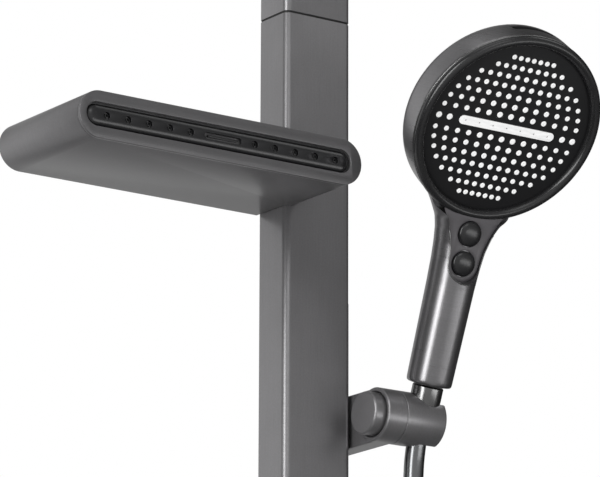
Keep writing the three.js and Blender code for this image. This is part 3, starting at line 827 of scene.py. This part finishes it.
def shield_outline(grow, steps=16):
    """The control panel's outline in the neck's X and Z: a round tip that widens upwards."""
    radius, tip, top, flare = 12.4 + grow, 112, 150, 12.5
    points = [
        (radius * math.cos(angle), tip + radius * math.sin(angle))
        for angle in (math.pi + math.pi * i / steps for i in range(steps + 1))
    ]
    for i in range(1, steps + 1):
        t = i / steps
        points.append((radius + flare * t ** 1.9, tip + (top - tip) * t))
    mirrored = [(-x, z) for x, z in reversed(points[steps + 1:])]
    return points + mirrored


def plate_from(name, outline, front, back):
    """A flat plate in the neck's frame, from an outline in X and Z."""
    clear_selection()
    bpy.ops.mesh.primitive_circle_add(vertices=len(outline), radius=1, fill_type="NGON")
    piece = named(name)
    edit(piece, "VERT")
    mesh = bmesh.from_edit_mesh(piece.data)
    mesh.verts.ensure_lookup_table()
    for vertex, (x, z) in zip(mesh.verts, outline):
        vertex.co = (x * MM, back * MM, z * MM)
    bmesh.update_edit_mesh(piece.data)
    bpy.ops.mesh.select_all(action="SELECT")
    bpy.ops.mesh.extrude_region_move(TRANSFORM_OT_translate={"value": (0, (front - back) * MM, 0)})
    bpy.ops.mesh.select_all(action="SELECT")
    bpy.ops.mesh.normals_make_consistent(inside=False)
    bpy.ops.object.mode_set(mode="OBJECT")
    return piece


def make_handset_shell():
    shell = make_neck()
    head = turned("head", [
        (0, -33.6), (30, -33), (48, -31.6), (60, -29.4), (65.6, -27.4), (67.9, -25), (68.9, -21.5),
        (69.2, -14), (69.3, -3), (0, -3),
    ], 96, IN_FACE)
    combine(shell, [head], "UNION")
    focus(shell)
    remesh = shell.modifiers.new("blend", "REMESH")
    remesh.mode, remesh.voxel_size = "VOXEL", 1.0 * MM
    bpy.ops.object.modifier_apply(modifier=remesh.name)
    smooth = shell.modifiers.new("smooth", "SMOOTH")
    smooth.factor, smooth.iterations = 0.5, 12
    bpy.ops.object.modifier_apply(modifier=smooth.name)
    front = turned("front", [(0, -3.0), (72, -3.0), (72, 30), (0, 30)], 96, IN_FACE)
    hollow = turned("hollow", [(0, -24), (60, -24), (65.5, -19), (65.5, 0), (0, 0)], 96, IN_FACE)
    window = plate_from("window", shield_outline(0.3), -40, PANEL_Y)
    jet = block("jet", (-18 * MM, 62.5 * MM, -18.8 * MM), (16 * MM, 75 * MM, -14.2 * MM))
    round_edges(jet, along(1), 2 * MM, 6)
    settle(jet, IN_FACE)
    combine(shell, [front, hollow, window, jet])
    smooth_by_angle(shell, 35)
    settle(shell, HAND)
    finish_piece(shell, "handset", handle_metal, "plated", "handset_shell")


BUTTON_HEIGHTS = {"lower": 112.7, "upper": 133.6}  # up the handle, in millimetres


def on_panel(height):
    """The frame of a piece turned out of the control panel, in the hand's frame."""
    return at(0, PANEL_Y * MM, height * MM) @ TO_FRONT


def make_control_panel():
    panel = plate_from("control_panel_shield", shield_outline(0), PANEL_Y - 0.9, PANEL_Y + 0.4)
    wells = [
        turned("well", [(0, -6), (9.2, -6), (9.2, 6), (0, 6)], 48, on_panel(height))
        for height in BUTTON_HEIGHTS.values()
    ]
    combine(panel, wells)
    soften(panel, 0.25 * MM, 2, 40)
    settle(panel, HAND)
    finish_piece(panel, "handset", shield_black, "shield", "control_panel")
    for place, height in BUTTON_HEIGHTS.items():
        dome = turned(
            f"spray_button_{place}_dome",
            [(0, -1.2), (8.8, -1.2), (8.8, 2.2), (8.3, 2.9), (6.9, 3.7), (4.6, 4.35), (2.2, 4.65), (0, 4.75)],
            48, HAND @ on_panel(height),
        )
        smooth_by_angle(dome, 50)
        finish_piece(dome, f"{place}_spray_button", gloss_black, "gloss_black", f"spray_button_{place}")


def neck_front(x, z):
    """How far forward the neck's surface stands at a place on it, in millimetres."""
    for (low, *first), (high, *last) in zip(NECK, NECK[1:]):
        if low <= z <= high:
            t = (z - low) / (high - low)
            width, depth, forward = (a + (b - a) * t for a, b in zip(first, last))
            return forward + depth * math.sqrt(max(0, 1 - (x / width) ** 2))
    return 0


def make_shield_trim():
    """The bright edge of the handle's metal round the control panel."""
    trim_top = 136
    outline = [(x, z) for x, z in shield_outline(0.75, 24) if z < trim_top]
    start = max(range(len(outline)), key=lambda i: math.dist(outline[i], outline[i - 1]))
    outline = outline[start:] + outline[:start]
    path = [Vector((x * MM, -neck_front(x, z) * MM, z * MM)) for x, z in outline]
    trim = tube("shield_edge_trim", path, 0.42 * MM, 12)
    settle(trim, HAND)
    finish_piece(trim, "handset", polished_metal, "plated")


ROW_COUNTS = [13, 13, 13, 13, 11, 9, 7]  # nozzles in each row, going out from the centre bar
ROW_HALF_WIDTHS = [53.8, 52.0, 48.9, 43.9, 36.4, 26.0, 16.0]
FIRST_ROW, ROW_PITCH = 8.7, 7.15
NOZZLE_RADIUS, NOZZLE_SHRINK = 2.2, 0.5  # the outer nozzles are smaller
FIELD_SHIFT = -0.8
FACE_LEVEL, MAT_RADIUS = -1.6, 2


def nozzle_spots():
    """Each nozzle's place on the face and its radius, in millimetres."""
    spots = [(x, 0, NOZZLE_RADIUS) for x in (-54.6, -46.0, 46.0, 54.4)]
    for row, (count, half) in enumerate(zip(ROW_COUNTS, ROW_HALF_WIDTHS)):
        offset = FIRST_ROW + ROW_PITCH * row
        for i in range(count):
            x = -half + 2 * half * i / (count - 1)
            radius = NOZZLE_RADIUS - NOZZLE_SHRINK * math.hypot(x, offset) / 60
            spots += [(x, offset, radius), (x, -offset, radius)]
    return [(x + FIELD_SHIFT, z, radius) for x, z, radius in spots]


def make_rim():
    rim = turned("handset_rim_ring", [
        (62.2, -3.2), (69.0, -3.2), (69.4, -2.3), (69.7, -0.8), (69.4, 0.7), (68.4, 1.9), (67.0, 2.6),
        (65.6, 2.7), (64.3, 2.2), (63.2, 0.9), (62.4, -1.0),
    ], 128, FACE, closed=True)
    smooth_by_angle(rim, 50)
    finish_piece(rim, "handset", rim_black, "gloss_black", "handset_rim")
    edge = turned(
        "handset_edge_ring",
        [(68.4, -3.6), (69.5, -3.6), (69.75, -3.2), (69.75, -2.8), (69.5, -2.4), (68.4, -2.4)],
        160, FACE, closed=True,
    )
    smooth_by_angle(edge, 60)
    finish_piece(edge, "handset", polished_metal, "plated")


def make_face_plate():
    plate = turned(
        "face_plate_disc", [(0, -4), (62.6, -4), (62.6, -2.2), (60.5, -1.6), (0, FACE_LEVEL)], 128, FACE,
    )
    smooth_by_angle(plate, 40)
    finish_piece(plate, "handset", face_black, "satin_black", "face_plate")


def make_nozzle_mat():
    first = turned(
        "nozzle",
        [(0, -0.4), (MAT_RADIUS, -0.4), (MAT_RADIUS, 0.25), (1.6, 0.55), (0.7, 0.6), (0.45, 0.42), (0, 0.42)],
        20,
    )
    smooth_by_angle(first, 40)
    nozzles = []
    for x, z, radius in nozzle_spots():
        nozzle = first.copy()
        nozzle.data = first.data.copy()
        bpy.context.collection.objects.link(nozzle)
        widened = Matrix.Diagonal((radius / MAT_RADIUS, radius / MAT_RADIUS, 1, 1))
        nozzle.matrix_world = FACE @ at(x * MM, z * MM, FACE_LEVEL * MM) @ widened
        nozzles.append(nozzle)
    bpy.data.objects.remove(first)
    clear_selection()
    for nozzle in nozzles:
        nozzle.select_set(True)
    bpy.context.view_layer.objects.active = nozzles[0]
    bpy.ops.object.join()
    mat = named("nozzle_mat_nozzles")
    bpy.ops.object.transform_apply(location=True, rotation=True, scale=True)
    finish_piece(mat, "handset", white_silicone, "white_rubber", "nozzle_mat")


def make_jets():
    half_height = 3.2 * MM
    bar = block(
        "centre_jet_bar_strip", (-38.9 * MM, -half_height, -4 * MM), (37.7 * MM, half_height, -0.9 * MM),
    )
    round_edges(bar, along(2), half_height * 0.9999, 16)
    pits = [
        turned("pit", [(0, -2), (0.55, -2), (0.55, 3), (0, 3)], 16, at((11.1 * i - 0.6) * MM, 0, 0))
        for i in range(-3, 4)
    ]
    combine(bar, pits)
    soften(bar, 0.3 * MM, 2, 50)
    settle(bar, FACE)
    finish_piece(bar, "handset", white_silicone, "white_rubber", "centre_jet_bar")
    dress(nylon, "water_spreader", "waterway_tube")
    strip = block(
        "top_jet_insert_strip", (-18.2 * MM, 62 * MM, -19 * MM), (16.2 * MM, 64.2 * MM, -14 * MM),
    )
    lip = block("lip", (-17.2 * MM, 63 * MM, -17.2 * MM), (13.4 * MM, 66.2 * MM, -15.8 * MM))
    combine(strip, [lip], "UNION")
    soften(strip, 0.3 * MM, 2, 40)
    settle(strip, FACE)
    finish_piece(strip, "handset", gloss_black, "satin_black", "top_jet_insert")


make_cone_nut()
make_handset_shell()
make_control_panel()
make_shield_trim()
make_rim()
make_face_plate()
make_nozzle_mat()
make_jets()


# ---- Mixer and wall fixings ----
KNOB_FLUTES = 22
FLUTE_REACH = 23.3  # from the knob's axis to the middle of a flute, in millimetres
HOSE_NUT_RIDGES = 6


def make_knob(name, knob_place, middle):
    knob = turned(
        name + "_grip",
        [(0, 0.6), (21.8, 0.6), (22.8, 1.6), (22.8, 6), (22, 6.8), (22, 7.8), (22.8, 8.6), (22.8, 41.5),
         (21.6, 43.2), (19, 44), (18, 43.2), (0, 43.2)],
        72, knob_place,
    )
    flutes = [
        turned(
            "flute", [(0, 0), (1.3, 0), (1.3, 26), (0, 26)], 10,
            knob_place @ turn(z=360 * (i + 0.5) / KNOB_FLUTES) @ at(FLUTE_REACH * MM, 0, 11 * MM),
        )
        for i in range(KNOB_FLUTES)
    ]
    combine(knob, flutes)
    near, far = sorted((knob_place @ Vector((0, 0, out * MM))).x for out in (8, 26))
    lever = block(
        name + "_lever", (near, middle.y - 4 * MM, middle.z + 20 * MM),
        (far, middle.y + 4 * MM, middle.z + 32 * MM),
    )
    round_edges(lever, along(2), 2.5 * MM, 5)
    soften(lever, 0.8 * MM, 3, 50)
    combine(knob, [lever], "UNION")
    smooth_by_angle(knob, 28)
    finish_piece(knob, name, mixer_metal, "gunmetal", name)


def make_escutcheon(side, height):
    low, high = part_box("escutcheon_" + side)
    cover = turned(
        f"escutcheon_{side}_cover",
        [(9.2, 0), (31.2, 0), (32, 0.8), (31.8, 2.6), (30, 5), (27, 6.6), (23, 7), (10, 7), (9.2, 6.2)],
        96, at((low.x + high.x) / 2, high.y, height) @ TO_FRONT, closed=True,
    )
    smooth_by_angle(cover, 40)
    finish_piece(cover, "column", mixer_metal, "plated_brass", "escutcheon_" + side)


def make_hose_nut():
    low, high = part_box("hose_nut")
    ridges = [
        (radius, height - 2 * i) for i in range(HOSE_NUT_RIDGES)
        for radius, height in ((10.6, -3.2), (10.6, -4.4), (10.1, -4.7), (10.1, -4.9))
    ]
    nut = turned(
        "hose_nut_ridged",
        [(7.1, -0.2), (9.4, -0.2), (10.6, -1.4)] + ridges
        + [(10.6, -15.6), (9.4, -19.6), (8.6, -28.4), (7.1, -28.6)],
        72, at((low.x + high.x) / 2, (low.y + high.y) / 2, high.z), closed=True,
    )
    smooth_by_angle(nut, 30)
    finish_piece(nut, "column", polished_metal, "polished", "hose_nut")
    dress(polished_metal, "hose_outlet")


def make_wall_bracket():
    low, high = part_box("wall_bracket")
    plate = block("wall_bracket_plate", (low.x, high.y - 5 * MM, low.z), high)
    round_edges(plate, along(1), 4 * MM, 6)
    soften(plate, 0.6 * MM, 3, 50)
    boss = block(
        "boss", (-9 * MM, low.y, low.z + 0.2 * MM), (9 * MM, high.y - 3 * MM, high.z - 0.2 * MM),
    )
    soften(boss, 1.0 * MM, 3, 50)
    combine(plate, [boss], "UNION")
    holes = [
        turned("hole", [(0, -1), (2.9, -1), (2.9, 8), (0, 8)], 24, at(x, high.y, 0) @ TO_FRONT)
        for x in (-16 * MM, 16 * MM)
    ]
    thread = at(0, low.y + 12 * MM, 0) @ TO_FRONT
    holes.append(turned("hole", [(0, 0), (2.6, 0), (2.6, 14), (0, 14)], 24, thread))
    combine(plate, holes)
    smooth_by_angle(plate, 30)
    finish_piece(plate, "column", steel, "steel", "wall_bracket")
    dress(steel, "wall_screw_left", "wall_screw_right", "column_screw")


def make_mixer():
    low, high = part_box("mixer_body")
    body = block("mixer_body_bar", low, high)
    round_edges(body, along(0), 11 * MM, 12)
    soften(body, 0.8 * MM, 3, 50)
    finish_piece(body, "column", mixer_metal, "plated_brass", "mixer_body")
    dress(brass, "thermostat_cartridge", "flow_cartridge", "inlet_union_left", "inlet_union_right")
    middle = (low + high) / 2
    make_knob("temperature_knob", at(low.x, middle.y, middle.z) @ turn(y=-90), middle)
    make_knob("flow_knob", at(high.x, middle.y, middle.z) @ turn(y=90), middle)
    for side in ("left", "right"):
        make_escutcheon(side, middle.z)
    make_hose_nut()
    make_wall_bracket()


make_mixer()


# ---- Studio ----
# How bright the walls are by compass bearing, in degrees from the front towards the right.
ROOM = [
    (-180, 0.62), (-164, 1.0), (-148, 1.2), (-130, 1.0), (-118, 0.14), (-92, 0.06), (-60, 0.3),
    (-40, 0.8), (-10, 0.8), (15, 0.55), (35, 0.42), (60, 0.22), (80, 0.05), (125, 0.05), (140, 0.5),
    (150, 0.66), (180, 0.62),
]
WHITE = (1, 1, 1, 1)
LIT_POINT = Vector((0.0, -0.08, -0.15))  # where every softbox points


def make_floor():
    clear_selection()
    bpy.ops.mesh.primitive_plane_add(size=12, location=(0, 0, CAD_BOX[0][2] - 0.12))
    floor = named("studio_floor")
    paint = Finish("pale floor", Base_Color=grey(0.82), Roughness=0.7)
    floor.data.materials.append(paint.material)
    floor.visible_glossy = False


def make_room():
    """A white backdrop. Reflections see walls that are brighter and darker round the compass."""
    world = bpy.context.scene.world or bpy.data.worlds.new("studio")
    bpy.context.scene.world = world
    world.use_nodes = True
    world.node_tree.nodes.clear()
    air = Nodes(world.node_tree)
    direction = air.node("SeparateXYZ", Vector=air.node("TexCoord").outputs["Generated"])
    east, north, height = (air.number(socket) for socket in direction.outputs)
    bearing = east.math("ARCTAN2", east, -1 * north) / (2 * math.pi) + 0.5
    walls = air.ramp(bearing, [((degrees + 180) / 360, level) for degrees, level in ROOM])
    reflected = walls * (1 - 0.6 * height.math("ABSOLUTE", height))
    ray = air.node("LightPath")
    matt = air.number(ray.outputs["Is Diffuse Ray"])
    strength = matt * 0.7 + (1 - matt) * reflected
    around = air.node("Background", Color=WHITE, Strength=strength)
    seen = air.node("Background", Color=WHITE)
    choice = air.node("MixShader", Fac=ray.outputs["Is Camera Ray"])
    air.feed(choice.inputs[1], around.outputs[0])
    air.feed(choice.inputs[2], seen.outputs[0])
    air.node("OutputWorld", Surface=choice.outputs[0])


def softbox(name, direction, distance, width, height, power):
    spot = LIT_POINT + Vector(direction).normalized() * distance
    lamp = bpy.data.lights.new(name, "AREA")
    lamp.shape, lamp.size, lamp.size_y, lamp.energy = "RECTANGLE", width, height, power
    stand = bpy.data.objects.new(name, lamp)
    stand.location = spot
    stand.rotation_euler = (LIT_POINT - spot).to_track_quat("-Z", "Y").to_euler()
    bpy.context.collection.objects.link(stand)


def make_studio():
    make_floor()
    make_room()
    softbox("key softbox", (-0.94, -0.34, 0.12), 3.0, 1.0, 3.2, 80)
    softbox("low front softbox", (0.4, -0.87, -0.29), 3.0, 2.4, 0.7, 15)
    softbox("front softbox", (-0.3, -0.95, 0.55), 3.2, 1.4, 1.0, 8)
    softbox("high right softbox", (0.56, -0.3, 0.79), 2.8, 1.3, 1.3, 8)
    softbox("top softbox", (-0.2, -0.2, 1.0), 2.6, 1.6, 1.6, 8)


make_studio()
bpy.context.scene.view_settings.view_transform = "Standard"
